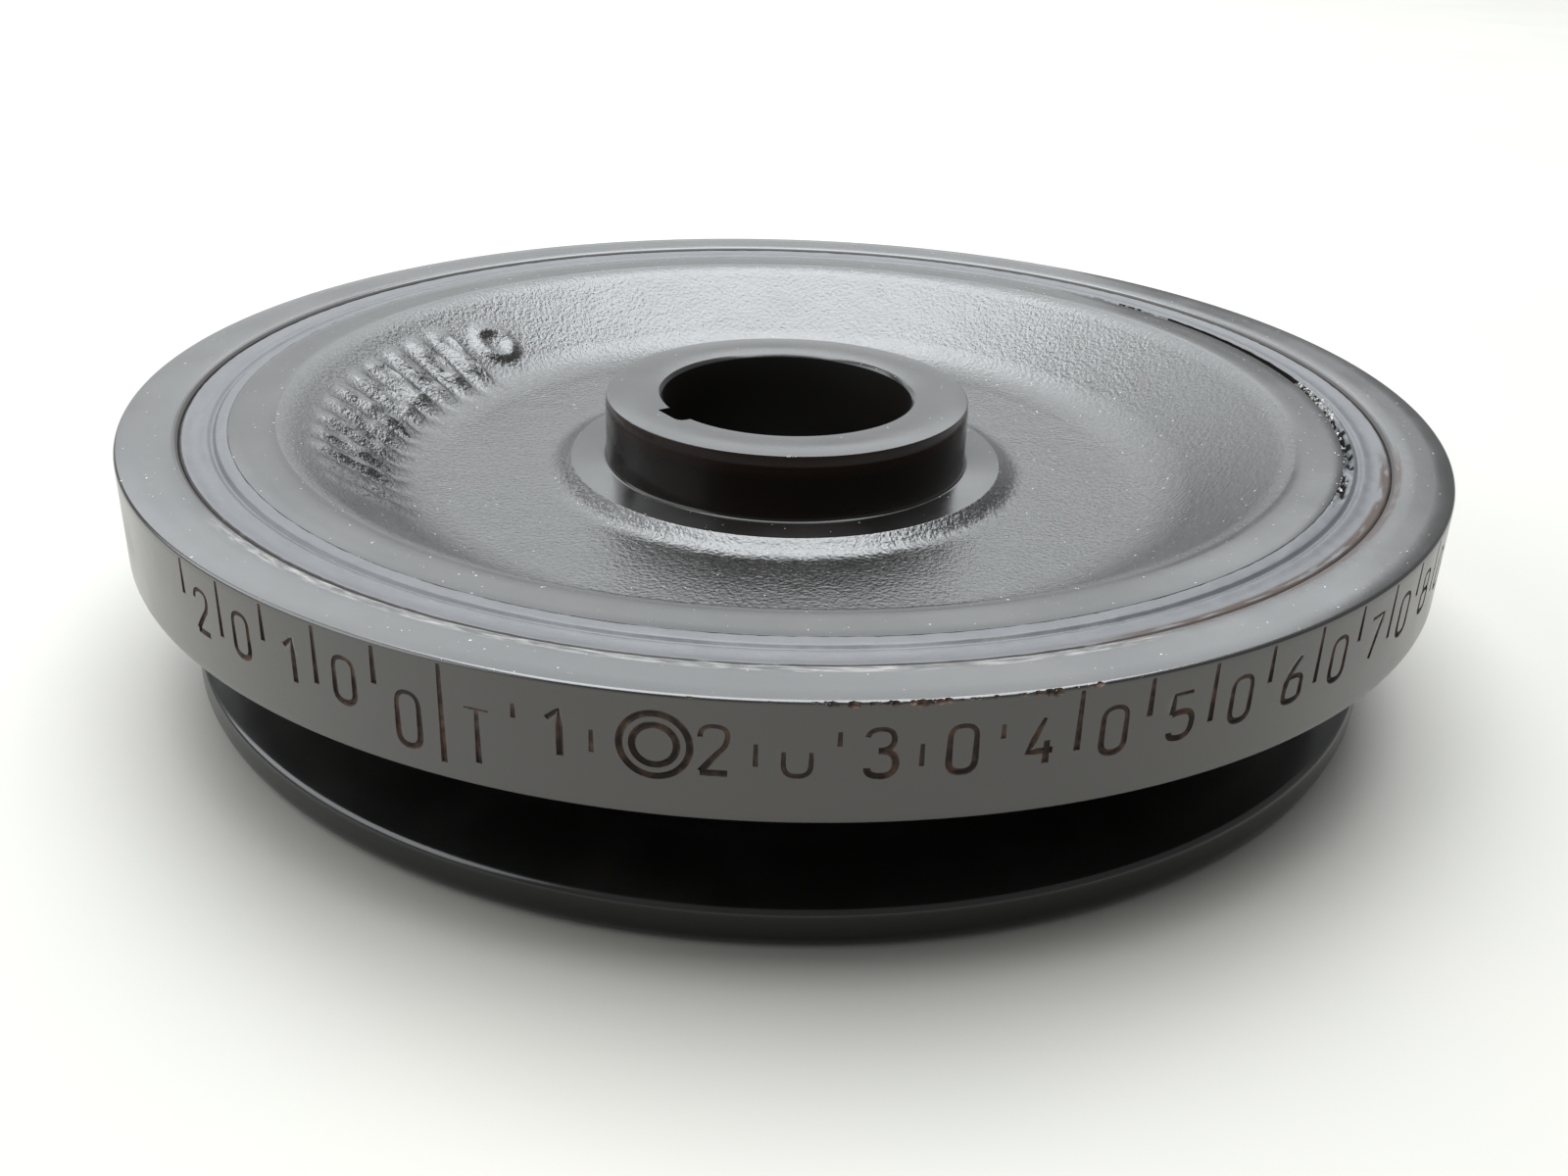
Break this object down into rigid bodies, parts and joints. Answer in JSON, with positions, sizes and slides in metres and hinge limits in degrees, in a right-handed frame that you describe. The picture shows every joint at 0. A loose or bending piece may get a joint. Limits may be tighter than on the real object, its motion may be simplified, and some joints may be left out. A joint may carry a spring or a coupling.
{
  "type": "v belt pulley",
  "caption": "Crankshaft V belt pulley: a dished hub casting with a V groove carries an inertia ring with a timing scale on bonded rubber.",
  "frame": {"origin": "on the bore's axis, in the plane of the lower flange's face, on which the pulley rests", "axes": "+Z along the bore towards the engine side; the timing scale's zero mark lies 21.2 degrees from -Y towards -X, and the keyway 53.6 degrees"},
  "size_m": [0.166, 0.166, 0.0316],
  "materials": {
    "casting": "satin black paint over rough cast iron, turned faces smooth",
    "ring": "satin black paint over turned iron, chipped and rusting at the edges",
    "rubber": "moulded rubber, painted over with the metal"
  },
  "bodies": {
    "hub": {"hub_casting": "casting", "rubber_ring": "rubber"},
    "ring": {"inertia_ring": "ring"}
  },
  "joints": [
    {"name": "ring_twist", "type": "hinge", "parent": "hub", "child": "ring", "pos_m": [0, 0, 0.0254], "axis": [0, 0, 1], "range_deg": [-2, 2], "stiffness_Nm_per_rad": 780}
  ]
}
